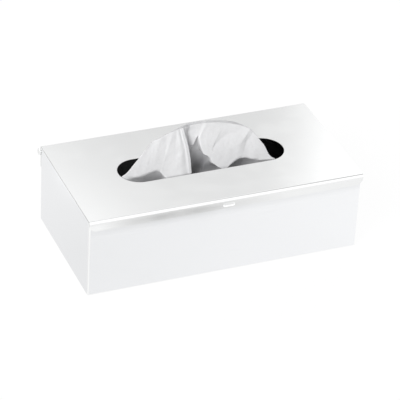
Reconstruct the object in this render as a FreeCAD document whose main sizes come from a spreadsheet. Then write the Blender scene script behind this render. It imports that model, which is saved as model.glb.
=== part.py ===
import FreeCAD, Part

import math
import os

import Sketcher

# Wall tissue dispenser in folded stainless sheet, lying on its back with the slot upwards.
# Millimetres. The origin is at the middle of the underside: X runs along the box, -Y is the
# front with the lid's lip, and +Z is up.

SIZES = (
    # the box, folded from one sheet and welded at its corners
    ("box_length", 250.0, "outside length of the box"),
    ("box_width", 125.0, "outside width of the box"),
    ("box_height", 74.0, "underside to the top of the rim"),
    ("sheet_thickness", 1.0, "stainless sheet of the box and the lid"),
    ("corner_radius", 1.6, "outside radius of the upright corners"),
    ("floor_bend_radius", 1.4, "outside radius where the walls meet the floor"),
    ("rim_bend_radius", 1.2, "outside radius where the rim turns inwards"),
    ("rim_width", 5.0, "outside of the wall to the inner edge of the rim"),
    ("rim_corner_radius", 2.0, "inner corners of the rim"),
    ("screw_hole_diameter", 5.5, "holes in the floor for the wall screws"),
    ("screw_spacing_length", 180.0, "screw hole to screw hole along the box"),
    ("screw_spacing_width", 70.0, "screw hole to screw hole across the box"),
    # the lid, folded from one sheet
    ("lip_drop", 9.5, "top of the lid to the lower edge of the front lip"),
    ("lip_clearance", 1.1, "front wall to the inside of the front lip"),
    ("lip_bend_radius", 2.4, "outside radius of the front bend"),
    ("lip_corner_share", 0.9, "radius of the lip's lower corners, of its straight drop"),
    ("rear_bend_radius", 2.0, "outside radius of the rear bend"),
    ("slot_length", 153.0, "tissue slot, end to end"),
    ("slot_width", 37.5, "tissue slot, edge to edge"),
    # the catch: a dimple pressed into the lip, and a slot in the wall behind it
    ("catch_length", 11.0, "outside of the dimple, end to end"),
    ("catch_height", 3.6, "outside of the dimple, edge to edge"),
    ("catch_drop", 6.0, "top of the lid to the middle of the dimple"),
    ("catch_clearance", 0.3, "tip of the dimple to the front wall"),
    ("catch_flare", 0.6, "how far the dimple is wider on the inside of the lip"),
    ("catch_slope", 45.0, "degrees that the dimple's sides lean in"),
    ("catch_margin", 0.2, "room round the dimple in the wall's slot"),
    # the hinge: a strap welded to the rear wall, and knuckles rolled from the lid's rear edge
    ("hinge_drop", 7.0, "top of the lid to the hinge axis"),
    ("pin_diameter", 3.0, "hinge pin"),
    ("pin_clearance", 0.05, "pin to knuckle, on the radius"),
    ("strap_thickness", 1.2, "sheet of the hinge strap"),
    ("strap_height", 14.0, "hinge axis to the lower edge of the strap"),
    ("knuckle_count", 11, "knuckles along the hinge, the strap's at both ends"),
    ("knuckle_gap", 0.3, "end of one knuckle to the next"),
    ("knuckle_relief", 0.4, "knuckle to the sheet of the other leaf"),
    ("curl_gap", 0.3, "seam where a rolled knuckle ends at its own leaf"),
    ("head_diameter", 6.4, "domed head at each end of the pin"),
    ("head_thickness", 1.5, "domed head, along the pin"),
    ("head_dome_radius", 1.1, "rounding of the head"),
    ("head_clearance", 0.1, "head to the end knuckle"),
    # what is left of the pack: folded tissues in one pile
    ("pile_length", 212.0, "pile along the box"),
    ("pile_width", 108.0, "pile across the box"),
    ("pile_height", 18.0, "pile from bottom to top"),
    ("pile_clearance", 0.3, "pile to the floor of the box"),
    ("pile_bundles", 6, "bundles of folded tissues that show at its long sides"),
    ("pile_groove", 1.0, "how deep the side goes in between two bundles"),
    ("pile_edge_radius", 1.2, "soft upper edge of the pile"),
    # the tissue that stands up through the slot
    ("tissue_thickness", 0.8, "pulled tissue, front to back"),
    ("tissue_clearance", 0.4, "pulled tissue to the slot's edge and to the pile"),
    ("tissue_left_reach", 75.0, "middle of the slot to the left end of the tissue"),
    ("tissue_right_reach", 62.0, "middle of the slot to the right end of the tissue"),
    ("tissue_rise", 43.5, "top of the lid to the highest point of the tissue"),
    ("tissue_side_slope", 1.4, "rise over run of the tissue's two slanting sides"),
    ("tissue_corner", 1.2, "softness of the corners between the upper edge and the sides"),
    ("tissue_lean", 0.19, "how far the tissue leans back, run over rise"),
)

# Places that follow from the sizes, as expressions on the sheet.
LID_TOP = "(sizes.box_height + sizes.sheet_thickness)"
LIP_BACK = "(sizes.box_width / 2 + sizes.lip_clearance)"
LIP_FACE = f"({LIP_BACK} + sizes.sheet_thickness)"
LIP_EDGE = f"({LID_TOP} - sizes.lip_drop)"
LIP_CORNER = "(sizes.lip_corner_share * (sizes.lip_drop - sizes.lip_bend_radius))"
CATCH_HEIGHT = f"({LID_TOP} - sizes.catch_drop)"
CATCH_DEPTH = "(sizes.lip_clearance - sizes.catch_clearance)"
BORE_RADIUS = "(sizes.pin_diameter / 2 + sizes.pin_clearance)"
STRAP_KNUCKLE_RADIUS = f"({BORE_RADIUS} + sizes.strap_thickness)"
LID_KNUCKLE_RADIUS = f"({BORE_RADIUS} + sizes.sheet_thickness)"
WALL_BACK = "(sizes.box_width / 2)"
STRAP_FACE = f"({WALL_BACK} + sizes.strap_thickness)"
AXIS_Y = f"({STRAP_FACE} + {BORE_RADIUS})"
AXIS_Z = f"({LID_TOP} - sizes.hinge_drop)"
KNUCKLE_PITCH = "(sizes.box_length / sizes.knuckle_count)"
PILE_FOOT = "(sizes.sheet_thickness + sizes.pile_clearance)"
PILE_TOP = f"({PILE_FOOT} + sizes.pile_height)"

START, END, CENTRE = 1, 2, 3
NEAR = 0.01


# ---------------------------------------------------------------- sheet, sketches, features


def fill_sheet(doc):
    """The driving dimensions, one named cell each."""
    sheet = doc.addObject("Spreadsheet::Sheet", "sizes")
    for row, (alias, value, meaning) in enumerate(SIZES, start=1):
        sheet.set(f"A{row}", alias)
        sheet.set(f"B{row}", str(value))
        sheet.set(f"C{row}", meaning)
        sheet.setAlias(f"B{row}", alias)
    doc.recompute()


def value_of(doc, expression):
    """What an expression on the sheet comes to."""
    return float(doc.getObject("sizes").evalExpression(expression))


def new_body(doc, label):
    body = doc.addObject("PartDesign::Body", label)
    body.Label = label
    return body


def origin_feature(body, role):
    """One of the body's own origin planes or axes."""
    return next(item for item in body.Origin.OriginFeatures if item.Role == role)


def new_sketch(body, name, plane, along_normal="0"):
    """A sketch on an origin plane of the body, moved along the plane's normal."""
    sketch = body.newObject("Sketcher::SketchObject", name)
    sketch.AttachmentSupport = [(origin_feature(body, plane), "")]
    sketch.MapMode = "FlatFace"
    sketch.setExpression("AttachmentOffset.Base.z", along_normal)
    return sketch


def tie(sketch, kind, references, expression):
    """A dimension of the sketch, bound to an expression."""
    value = value_of(sketch.Document, expression)
    index = sketch.addConstraint(Sketcher.Constraint(kind, *references, value))
    name = f"size_{index}"
    sketch.renameConstraint(index, name)
    sketch.setExpression(f"Constraints.{name}", expression)


def tie_point(sketch, geometry, point, place):
    """Both coordinates of a point, bound to a pair of expressions."""
    tie(sketch, "DistanceX", (geometry, point), place[0])
    tie(sketch, "DistanceY", (geometry, point), place[1])


def polygon(sketch, places):
    """A closed outline through places, each a pair of expressions."""
    doc = sketch.Document
    corners = [FreeCAD.Vector(value_of(doc, x), value_of(doc, y)) for x, y in places]
    first, count = sketch.GeometryCount, len(corners)
    for step, corner in enumerate(corners):
        sketch.addGeometry(Part.LineSegment(corner, corners[(step + 1) % count]))
    for step, place in enumerate(places):
        following = first + (step + 1) % count
        sketch.addConstraint(
            Sketcher.Constraint("Coincident", first + step, END, following, START)
        )
        tie_point(sketch, first + step, START, place)


def rectangle(sketch, low_x, high_x, low_y, high_y):
    polygon(
        sketch,
        [(low_x, low_y), (high_x, low_y), (high_x, high_y), (low_x, high_y)],
    )


def centred_rectangle(sketch, length, width):
    rectangle(
        sketch,
        f"-({length}) / 2",
        f"({length}) / 2",
        f"-({width}) / 2",
        f"({width}) / 2",
    )


def circle(sketch, centre, radius):
    doc = sketch.Document
    middle = FreeCAD.Vector(value_of(doc, centre[0]), value_of(doc, centre[1]))
    upwards = FreeCAD.Vector(0, 0, 1)
    index = sketch.addGeometry(Part.Circle(middle, upwards, value_of(doc, radius)))
    tie_point(sketch, index, CENTRE, centre)
    tie(sketch, "Radius", (index,), radius)


def stadium(sketch, centre_y, length, width):
    """A slot along the sketch's x, with round ends, in the middle of the length."""
    doc = sketch.Document
    reach, radius = f"(({length}) - ({width})) / 2", f"({width}) / 2"
    x, y, r = value_of(doc, reach), value_of(doc, centre_y), value_of(doc, radius)
    upwards = FreeCAD.Vector(0, 0, 1)
    right, left = FreeCAD.Vector(x, y), FreeCAD.Vector(-x, y)
    drop = FreeCAD.Vector(0, r)
    quarter = math.pi / 2
    first = sketch.GeometryCount
    sketch.addGeometry(
        [
            Part.LineSegment(left - drop, right - drop),
            Part.ArcOfCircle(Part.Circle(right, upwards, r), -quarter, quarter),
            Part.LineSegment(right + drop, left + drop),
            Part.ArcOfCircle(Part.Circle(left, upwards, r), quarter, 3 * quarter),
        ]
    )
    for step in range(4):
        following = first + (step + 1) % 4
        sketch.addConstraint(
            Sketcher.Constraint("Tangent", first + step, END, following, START)
        )
    right_end, left_end = first + 1, first + 3
    sketch.addConstraint(Sketcher.Constraint("Equal", right_end, left_end))
    tie_point(sketch, right_end, CENTRE, (reach, centre_y))
    tie_point(sketch, left_end, CENTRE, (f"-{reach}", centre_y))
    tie(sketch, "Radius", (right_end,), radius)


def extrude(kind, body, sketch, name, length, both_ways=False, backwards=False, slope=None):
    """A Pad or a Pocket of a sketch."""
    feature = body.newObject(f"PartDesign::{kind}", name)
    feature.Profile = sketch
    feature.setExpression("Length", length)
    feature.SideType = "Symmetric" if both_ways else "One side"
    feature.Reversed = backwards
    if slope:
        feature.setExpression("TaperAngle", slope)
    body.Document.recompute()
    return feature


def edges_where(body, wanted):
    """Names of the edges of the body's tip whose bounds pass the test."""
    edges = enumerate(body.Tip.Shape.Edges, start=1)
    return [f"Edge{index}" for index, edge in edges if wanted(edge.BoundBox)]


def round_edges(body, name, radius, wanted):
    """A Fillet on the edges whose bounds pass the test."""
    chosen = edges_where(body, wanted)
    if not chosen:
        raise ValueError(f"{body.Label}: no edges for {name}")
    base = body.Tip
    feature = body.newObject("PartDesign::Fillet", name)
    feature.Base = (base, chosen)
    feature.setExpression("Radius", radius)
    body.Document.recompute()
    return feature


def repeat(body, original, name, axis, spacing, count):
    """The body's tip becomes a row of copies of one feature along an origin axis."""
    pattern = body.newObject("PartDesign::LinearPattern", name)
    pattern.Originals = [original]
    pattern.Direction = (origin_feature(body, axis), [""])
    pattern.Mode = "Spacing"
    pattern.setExpression("Offset", spacing)
    pattern.setExpression("Occurrences", count)
    body.Tip = pattern
    body.Document.recompute()
    return pattern


def is_at(value, place):
    return abs(value - place) < NEAR


def is_upright(bounds):
    return bounds.XLength < NEAR and bounds.YLength < NEAR and bounds.ZLength > NEAR


def lies_at(bounds, height):
    return is_at(bounds.ZMin, height) and is_at(bounds.ZMax, height)


# ---------------------------------------------------------------- box


def make_box(doc):
    """Floor, four walls and an inward rim, with screw holes and the catch's slot."""
    body = new_body(doc, "box_body")
    block = new_sketch(body, "box_outline", "XY_Plane")
    centred_rectangle(block, "sizes.box_length", "sizes.box_width")
    extrude("Pad", body, block, "box_block", "sizes.box_height")
    round_edges(body, "upright_corners", "sizes.corner_radius", is_upright)
    round_edges(body, "floor_bend", "sizes.floor_bend_radius", lambda b: lies_at(b, 0))
    top = value_of(doc, "sizes.box_height")
    round_edges(body, "rim_bend", "sizes.rim_bend_radius", lambda b: lies_at(b, top))
    hollow_box(doc, body)
    open_rim(doc, body)
    drill_floor(body)
    cut_catch_slot(body)
    return body


def hollow_box(doc, body):
    """The space between the floor and the rim, with the insides of the bends."""
    cavity = new_sketch(body, "cavity_outline", "XY_Plane", "sizes.sheet_thickness")
    centred_rectangle(
        cavity,
        "sizes.box_length - 2 * sizes.sheet_thickness",
        "sizes.box_width - 2 * sizes.sheet_thickness",
    )
    depth = "sizes.box_height - 2 * sizes.sheet_thickness"
    extrude("Pocket", body, cavity, "cavity", depth, backwards=True)
    floor_top = value_of(doc, "sizes.sheet_thickness")
    inside = value_of(doc, "sizes.box_length / 2 - sizes.sheet_thickness")
    round_edges(
        body,
        "inside_corners",
        "sizes.corner_radius - sizes.sheet_thickness",
        lambda b: is_upright(b) and is_at(abs(b.XMin), inside),
    )
    round_edges(
        body,
        "inside_floor_bend",
        "sizes.floor_bend_radius - sizes.sheet_thickness",
        lambda b: lies_at(b, floor_top),
    )


def open_rim(doc, body):
    """The mouth inside the rim."""
    mouth = new_sketch(body, "mouth_outline", "XY_Plane", "sizes.box_height")
    centred_rectangle(
        mouth,
        "sizes.box_length - 2 * sizes.rim_width",
        "sizes.box_width - 2 * sizes.rim_width",
    )
    extrude("Pocket", body, mouth, "mouth", "sizes.sheet_thickness")
    side = value_of(doc, "sizes.box_length / 2 - sizes.rim_width")
    round_edges(
        body,
        "mouth_corners",
        "sizes.rim_corner_radius",
        lambda b: is_upright(b) and is_at(abs(b.XMin), side),
    )


def drill_floor(body):
    """Four holes in the floor, on a rectangle, for the screws into the wall."""
    holes = new_sketch(body, "screw_hole_places", "XY_Plane")
    for side in ("-", ""):
        for end in ("-", ""):
            centre = (
                f"{end}sizes.screw_spacing_length / 2",
                f"{side}sizes.screw_spacing_width / 2",
            )
            circle(holes, centre, "sizes.screw_hole_diameter / 2")
    depth = "2 * sizes.sheet_thickness"
    extrude("Pocket", body, holes, "screw_holes", depth, backwards=True)


def cut_catch_slot(body):
    """The slot in the front wall that the lip's dimple faces."""
    slot = new_sketch(body, "catch_slot_outline", "XZ_Plane", "sizes.box_width / 2")
    margin = "2 * (sizes.catch_flare + sizes.catch_margin)"
    stadium(
        slot,
        CATCH_HEIGHT,
        f"sizes.catch_length + {margin}",
        f"sizes.catch_height + {margin}",
    )
    extrude("Pocket", body, slot, "catch_slot", "2 * sizes.sheet_thickness")


# ---------------------------------------------------------------- hinge


def roll_knuckles(body, radius, seam_low, seam_high):
    """A rolled tube along the whole hinge, bored for the pin and open at its seam."""
    tube = new_sketch(body, "knuckle_outline", "YZ_Plane")
    circle(tube, (AXIS_Y, AXIS_Z), radius)
    extrude("Pad", body, tube, "knuckle_tube", "sizes.box_length", both_ways=True)
    bore = new_sketch(body, "bore_outline", "YZ_Plane")
    circle(bore, (AXIS_Y, AXIS_Z), BORE_RADIUS)
    beyond = "2 * sizes.box_length"
    extrude("Pocket", body, bore, "bore", beyond, both_ways=True)
    seam = new_sketch(body, "seam_outline", "YZ_Plane")
    leaf_face = f"({AXIS_Y} - {BORE_RADIUS})"
    rectangle(seam, leaf_face, f"({leaf_face} + sizes.curl_gap)", seam_low, seam_high)
    extrude("Pocket", body, seam, "seam", beyond, both_ways=True)


def notch_knuckles(body, first_knuckle, count):
    """Room for the other leaf's knuckles, every second one from the first."""
    notch = new_sketch(body, "notch_outline", "XZ_Plane", f"-{WALL_BACK}")
    middle = f"({KNUCKLE_PITCH} * ({first_knuckle} + 0.5) - sizes.box_length / 2)"
    half = f"(({KNUCKLE_PITCH} + sizes.knuckle_gap) / 2)"
    rectangle(
        notch,
        f"{middle} - {half}",
        f"{middle} + {half}",
        f"{AXIS_Z} - {LID_KNUCKLE_RADIUS} - sizes.knuckle_relief",
        f"{AXIS_Z} + {STRAP_KNUCKLE_RADIUS} + sizes.knuckle_relief",
    )
    depth = f"{AXIS_Y} + {STRAP_KNUCKLE_RADIUS} + sizes.knuckle_relief - {WALL_BACK}"
    cut = extrude("Pocket", body, notch, "notch", depth)
    repeat(body, cut, "notches", "X_Axis", f"2 * {KNUCKLE_PITCH}", count)


def make_strap(doc):
    """The hinge strap on the back of the box, rolled into every second knuckle."""
    body = new_body(doc, "hinge_strap")
    leaf = new_sketch(body, "leaf_outline", "YZ_Plane")
    rectangle(leaf, WALL_BACK, STRAP_FACE, f"{AXIS_Z} - sizes.strap_height", AXIS_Z)
    extrude("Pad", body, leaf, "leaf", "sizes.box_length", both_ways=True)
    below = f"({AXIS_Z} - {STRAP_KNUCKLE_RADIUS})"
    roll_knuckles(body, STRAP_KNUCKLE_RADIUS, below, AXIS_Z)
    notch_knuckles(body, "1", "(sizes.knuckle_count - 1) / 2")
    return body


def make_pin(doc):
    """The hinge pin, with a domed head over the strap's knuckle at each end."""
    body = new_body(doc, "hinge_pin")
    half = new_sketch(body, "pin_outline", "XZ_Plane", f"-{AXIS_Y}")
    half.setExpression("AttachmentOffset.Base.y", AXIS_Z)
    under_head = "(sizes.box_length / 2 + sizes.head_clearance)"
    end = f"({under_head} + sizes.head_thickness)"
    shank, head = "(sizes.pin_diameter / 2)", "(sizes.head_diameter / 2)"
    polygon(
        half,
        [
            (f"-{end}", "0"),
            (end, "0"),
            (end, head),
            (under_head, head),
            (under_head, shank),
            (f"-{under_head}", shank),
            (f"-{under_head}", head),
            (f"-{end}", head),
        ],
    )
    turned = body.newObject("PartDesign::Revolution", "turned_pin")
    turned.Profile = half
    turned.ReferenceAxis = (half, ["H_Axis"])
    turned.Angle = 360
    doc.recompute()
    outer_end = value_of(doc, end)
    round_edges(
        body,
        "head_domes",
        "sizes.head_dome_radius",
        lambda b: is_at(abs(b.XMin), outer_end) and b.XLength < NEAR,
    )
    return body


# ---------------------------------------------------------------- lid


def make_lid(doc):
    """Top plate with a front lip and a rear edge that is rolled into the hinge."""
    body = new_body(doc, "lid")
    fold_lid(doc, body)
    above = f"({AXIS_Z} + {LID_KNUCKLE_RADIUS})"
    roll_knuckles(body, LID_KNUCKLE_RADIUS, AXIS_Z, above)
    notch_knuckles(body, "0", "(sizes.knuckle_count + 1) / 2")
    slot = new_sketch(body, "tissue_slot_outline", "XY_Plane", LID_TOP)
    stadium(slot, "0", "sizes.slot_length", "sizes.slot_width")
    extrude("Pocket", body, slot, "tissue_slot", "sizes.sheet_thickness")
    lip_edge, lip_face = value_of(doc, LIP_EDGE), value_of(doc, LIP_FACE)
    round_edges(
        body,
        "lip_corners",
        LIP_CORNER,
        lambda b: lies_at(b, lip_edge) and b.XLength < NEAR and is_at(b.YMin, -lip_face),
    )
    press_catch(body)
    return body


def fold_lid(doc, body):
    """The lid's section along its whole length, bent at the front and at the rear."""
    section = new_sketch(body, "lid_section", "YZ_Plane")
    under_plate = "sizes.box_height"
    rear_back = f"({AXIS_Y} - {BORE_RADIUS})"
    rear_front = f"({rear_back} - sizes.sheet_thickness)"
    polygon(
        section,
        [
            (f"-{LIP_FACE}", LIP_EDGE),
            (f"-{LIP_BACK}", LIP_EDGE),
            (f"-{LIP_BACK}", under_plate),
            (rear_front, under_plate),
            (rear_front, AXIS_Z),
            (rear_back, AXIS_Z),
            (rear_back, LID_TOP),
            (f"-{LIP_FACE}", LID_TOP),
        ],
    )
    extrude("Pad", body, section, "folded_sheet", "sizes.box_length", both_ways=True)
    long_enough = value_of(doc, "sizes.box_length") - NEAR
    for name, side, height, radius in (
        ("front_bend", f"-{LIP_FACE}", LID_TOP, "sizes.lip_bend_radius"),
        (
            "front_bend_inside",
            f"-{LIP_BACK}",
            under_plate,
            "sizes.lip_bend_radius - sizes.sheet_thickness",
        ),
        ("rear_bend", rear_back, LID_TOP, "sizes.rear_bend_radius"),
        (
            "rear_bend_inside",
            rear_front,
            under_plate,
            "sizes.rear_bend_radius - sizes.sheet_thickness",
        ),
    ):
        place = (value_of(doc, side), value_of(doc, height))
        round_edges(
            body,
            name,
            radius,
            lambda b: b.XLength > long_enough
            and is_at(b.YMin, place[0])
            and is_at(b.ZMin, place[1]),
        )


def press_catch(body):
    """The dimple in the middle of the front lip: a hollow outside, a bump inside."""
    bump = new_sketch(body, "catch_bump_outline", "XZ_Plane", LIP_BACK)
    flare = "2 * sizes.catch_flare"
    stadium(
        bump,
        CATCH_HEIGHT,
        f"sizes.catch_length + {flare}",
        f"sizes.catch_height + {flare}",
    )
    inwards = "-sizes.catch_slope"
    extrude("Pad", body, bump, "catch_bump", CATCH_DEPTH, backwards=True, slope=inwards)
    hollow = new_sketch(body, "catch_hollow_outline", "XZ_Plane", LIP_FACE)
    stadium(hollow, CATCH_HEIGHT, "sizes.catch_length", "sizes.catch_height")
    extrude("Pocket", body, hollow, "catch_hollow", CATCH_DEPTH, slope=inwards)


# ---------------------------------------------------------------- tissues


def make_pile(doc):
    """The folded tissues that are left, grooved where one bundle lies on the next."""
    body = new_body(doc, "tissue_pile")
    section = new_sketch(body, "pile_section", "YZ_Plane")
    side = "sizes.pile_width / 2"
    rectangle(section, f"-{side}", side, PILE_FOOT, PILE_TOP)
    extrude("Pad", body, section, "pile", "sizes.pile_length", both_ways=True)
    top = value_of(doc, PILE_TOP)
    round_edges(body, "pile_top", "sizes.pile_edge_radius", lambda b: lies_at(b, top))
    bundle = "(sizes.pile_height / sizes.pile_bundles)"
    seam = f"({PILE_FOOT} + {bundle})"
    grooves = new_sketch(body, "groove_outline", "YZ_Plane")
    for sign in ("-", ""):
        polygon(
            grooves,
            [
                (f"{sign}({side} - sizes.pile_groove)", seam),
                (f"{sign}({side})", f"{seam} - sizes.pile_groove / 2"),
                (f"{sign}({side})", f"{seam} + sizes.pile_groove / 2"),
            ],
        )
    length = "2 * sizes.pile_length"
    groove = extrude("Pocket", body, grooves, "groove", length, both_ways=True)
    repeat(body, groove, "groove_row", "Z_Axis", bundle, "sizes.pile_bundles - 1")
    return body


def smooth_step(position):
    """From 0 to 1 as position goes from 0 to 1, level at both ends."""
    held = min(max(position, 0.0), 1.0)
    return held * held * (3 - 2 * held)


# The fold lines of the pulled tissue from left to right, drawn in millimetres for a tissue of
# this width that leans on the edge of a slot of this half width. Each goes up from the lid's top
# to the tissue's upper edge by points of (height, x, depth behind the front).
DRAWN_WIDTH = 137.0
DRAWN_HALF_SLOT = 18.35
FOLD_LINES = (
    # the left side, and the hollow foot beside it
    ((0, -75, 0), (26, -56.4, 0)),
    ((0, -67, 4), (3.5, -66, 2), (6, -65, 0), (34.7, -49, 0.4)),
    ((0, -56, 5), (5, -56, 3.5), (8.5, -55, 0.2), (37.3, -43, -0.3)),
    ((0, -46, 5), (4, -49, 3.5), (7.5, -50, 0.1), (39.3, -37, 0.2)),
    ((0, -42.5, 4.5), (3.5, -45.5, 3), (6, -47, 0.1), (39.8, -35, 0.2)),
    # the left panel and the roll at its right edge
    ((0, -40, 0), (6, -44.5, 0), (40.6, -32, -0.2)),
    ((0, -32, 0), (20, -31, 0.5), (41.3, -29, 0.1)),
    ((0, -24.5, 0.2), (20, -24.5, -0.2), (41.7, -27.4, -0.2)),
    ((0, -20, 0.5), (26, -20.4, 0.5), (42, -25.6, 0.4)),
    ((0, -18.6, 0), (6, -18.6, -0.4), (26, -19, -0.4), (42.1, -24.6, -0.2)),
    ((0, -17.7, 0.3), (26, -18.2, 0.3), (42.2, -23.9, 0.3)),
    ((0, -16.9, 0), (26, -17.3, -0.1), (42.3, -23.2, 0)),
    # the deep hollow, with the flap that hangs over its upper end
    ((0, -15.4, 12), (14, -15.2, 12), (26, -15.8, 10), (36, -18.6, 7), (42.7, -20.6, 0.4)),
    ((0, -13, 13), (14, -13.2, 12.5), (19, -13.4, 10), (22, -12.8, 5.4), (38, -14.6, 3.4), (43.2, -15, 1)),
    (
        (0, -12.2, 13), (14, -12.4, 12.5), (19, -13, 10.2), (22.4, -12.4, 5), (31, -9.8, 1.8),
        (43.3, -3.8, 0.8),
    ),
    (
        (0, -11.6, 13), (14, -11.6, 12), (19, -12, 10.5), (22.4, -11.8, 9), (29.5, -9.7, 6),
        (32, -8.8, 1.5), (43.3, -3.2, 0.7),
    ),
    (
        (0, -3, 12), (9, -0.2, 10), (13.4, -1.6, 9), (15.4, -5.4, 9), (24, -8.2, 7),
        (29.5, -9.2, 5), (32, -8.3, 1.3), (43.3, -2.6, 0.6),
    ),
    (
        (0, -2, 9), (6, 0.8, 7), (9, 1.6, 2.5), (11.5, 1, 0.4), (13.4, -0.6, 0), (15.6, -4.6, 0),
        (24, -7.4, 0), (31, -8, 0.8), (43.3, -1.4, 0.4),
    ),
    # the middle panel and the diagonal fold that comes down from the right
    ((0, 10.4, 6), (2, 7, 5), (5.6, 2.6, 3), (8, 2.4, 0.4), (16, 2.2, 0.3), (22, 4, 0.6), (40.7, 16, 0.8)),
    (
        (0, 11.6, 0), (2.6, 7.6, 0), (6.4, 3.8, 0), (16, 3.2, 0.4), (22, 5.4, 1.2), (28, 14.4, 1.4),
        (34.7, 34, 0.4),
    ),
    ((0, 15.6, 0), (5.8, 20, 0), (8, 23.5, -0.4), (20, 29.6, -1), (28, 35.4, -0.8), (32, 38.5, -0.2)),
    # the hollow foot on the right, and the right panel
    ((0, 17.5, 8), (5.4, 22, 7), (8.4, 25.2, 3), (20, 32.4, 0.8), (30.6, 39.8, 0.3)),
    ((0, 25, 10), (6, 27, 8), (9, 28.4, 1.8), (20, 34.4, 1.4), (29.2, 41, 0.6)),
    ((0, 32, 8), (5, 33.6, 5), (8, 34.6, 0.8), (18, 38, 0.6), (26.6, 43, 0.3)),
    ((0, 38, 2.5), (4, 38.5, 1.4), (6, 39, 0), (22.1, 46.2, 0)),
    ((0, 48, 1.2), (2, 48, 0.3), (18.2, 49, -0.2)),
    ((0, 62, 0), (14, 52, 0)),
)
TISSUE_PEAK = 0.49  # where the tissue is highest, across its width
TISSUE_CROWN = 0.56  # how much its upper edge drops from there to an end, of the rise
TISSUE_FOOT = 0.32  # how far from the slot's edge the foot stands, of the slot's half width
ROWS_BELOW_SLOT = 3
ROWS_ABOVE_SLOT = 16


def on_fold_line(line, height):
    """Where a fold line is across the tissue at that height, and how deep."""
    held = min(max(height, line[0][0]), line[-1][0])
    lower, upper = next(pair for pair in zip(line, line[1:]) if held <= pair[1][0])
    share = (held - lower[0]) / (upper[0] - lower[0])
    return [low + (high - low) * share for low, high in zip(lower[1:], upper[1:])]


def flat_facets(corners):
    """Two triangles that fill the quadrilateral with these corners."""
    first, second, third, fourth = corners
    triangles = ((first, second, third), (first, third, fourth))
    return [Part.Face(Part.makePolygon([*triangle, triangle[0]])) for triangle in triangles]


def grid_facets(grid):
    """Flat facets between the neighbouring points of a grid."""
    cells = []
    for near, far in zip(grid, grid[1:]):
        for row in range(len(near) - 1):
            cells += flat_facets((near[row], far[row], far[row + 1], near[row + 1]))
    return cells


def folded_sheet(front, back):
    """The solid between two grids of points, closed round its rim."""
    across = list(zip(*front)), list(zip(*back))
    rims = [(front[side], back[side]) for side in (0, -1)]
    rims += [(across[0][end], across[1][end]) for end in (0, -1)]
    facets = grid_facets(front) + grid_facets(back)
    for rim in rims:
        facets += grid_facets(rim)
    shell = Part.Shell(facets)
    shell.sewShape()
    solid = Part.Solid(shell)
    if solid.Volume < 0:
        solid.reverse()
    return solid


def make_pulled_tissue(doc):
    """A tissue that stands on the pile and leans on the slot's front edge, with its folds."""
    lid_top = value_of(doc, LID_TOP)
    foot = value_of(doc, f"{PILE_TOP} + sizes.tissue_clearance")
    left = -value_of(doc, "sizes.tissue_left_reach")
    right = value_of(doc, "sizes.tissue_right_reach")
    rise = value_of(doc, "sizes.tissue_rise")
    slope = value_of(doc, "sizes.tissue_side_slope")
    lean = value_of(doc, "sizes.tissue_lean")
    corner = value_of(doc, "sizes.tissue_corner")
    half_slot = value_of(doc, "sizes.slot_width / 2 - sizes.tissue_clearance")
    straight_half = value_of(doc, "(sizes.slot_length - sizes.slot_width) / 2")
    thickness = FreeCAD.Vector(0, value_of(doc, "sizes.tissue_thickness"), 0)
    widened = (right - left) / DRAWN_WIDTH
    deepened = half_slot / DRAWN_HALF_SLOT

    def upper_edge(x):
        across = (x - left) / (right - left)
        crown = TISSUE_CROWN * ((across - TISSUE_PEAK) / (1 - TISSUE_PEAK)) ** 2
        limits = (slope * (x - left), rise * (1 - crown), slope * (right - x))
        lowest = sum(math.exp(-limit / corner) for limit in limits)
        return -corner * math.log(lowest)

    def place(line, up):
        """A point of the front: up is -1 at the foot, 0 in the slot and 1 at the upper edge."""
        drawn_top = line[-1][0]
        across, depth = on_fold_line(line, up * drawn_top)
        x = left + (across - FOLD_LINES[0][0][1]) * widened
        top_x = left + (line[-1][1] - FOLD_LINES[0][0][1]) * widened
        round_end = min(max(abs(x) - straight_half, 0.0), half_slot)
        front = deepened * depth - math.sqrt(half_slot**2 - round_end**2)
        if up >= 0:
            height = up * upper_edge(top_x)
            return FreeCAD.Vector(x, front + lean * height, lid_top + height)
        sunk = smooth_step(-up)
        at_foot = deepened * depth / 2 - half_slot * TISSUE_FOOT
        return FreeCAD.Vector(x, (1 - sunk) * front + sunk * at_foot, lid_top + up * (lid_top - foot))

    below = [row / ROWS_BELOW_SLOT - 1 for row in range(ROWS_BELOW_SLOT)]
    above = [row / ROWS_ABOVE_SLOT for row in range(ROWS_ABOVE_SLOT + 1)]
    front = [[place(line, up) for up in below + above] for line in FOLD_LINES]
    back = [[point + thickness for point in line] for line in front]
    tissue = doc.addObject("Part::Feature", "pulled_tissue")
    tissue.Label = "pulled_tissue"
    tissue.Shape = folded_sheet(front, back)
    tissue.Placement = FreeCAD.Placement()
    return tissue


# ---------------------------------------------------------------- the whole dispenser


def check(doc, pieces):
    """Stops where an object failed or a piece isn't one sound solid."""
    for item in doc.Objects:
        if {"Invalid", "Error"} & set(item.State):
            raise RuntimeError(f"{item.Label} failed: {item.State}")
    for piece in pieces:
        shape = piece.Shape
        if shape.isNull() or not shape.isValid():
            raise RuntimeError(f"{piece.Label} has no valid shape")


def main():
    doc = FreeCAD.newDocument("tissue_dispenser")
    fill_sheet(doc)
    makers = (make_box, make_strap, make_pin, make_lid, make_pile, make_pulled_tissue)
    pieces = [make(doc) for make in makers]
    doc.recompute()
    check(doc, pieces)
    os.makedirs("parts", exist_ok=True)
    for piece in pieces:
        shape = piece.Shape
        shape.exportStep(f"parts/{piece.Label}.step")
        print(f"{piece.Label}: {len(shape.Solids)} solid, {shape.Volume:.1f} mm3")


main()
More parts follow.
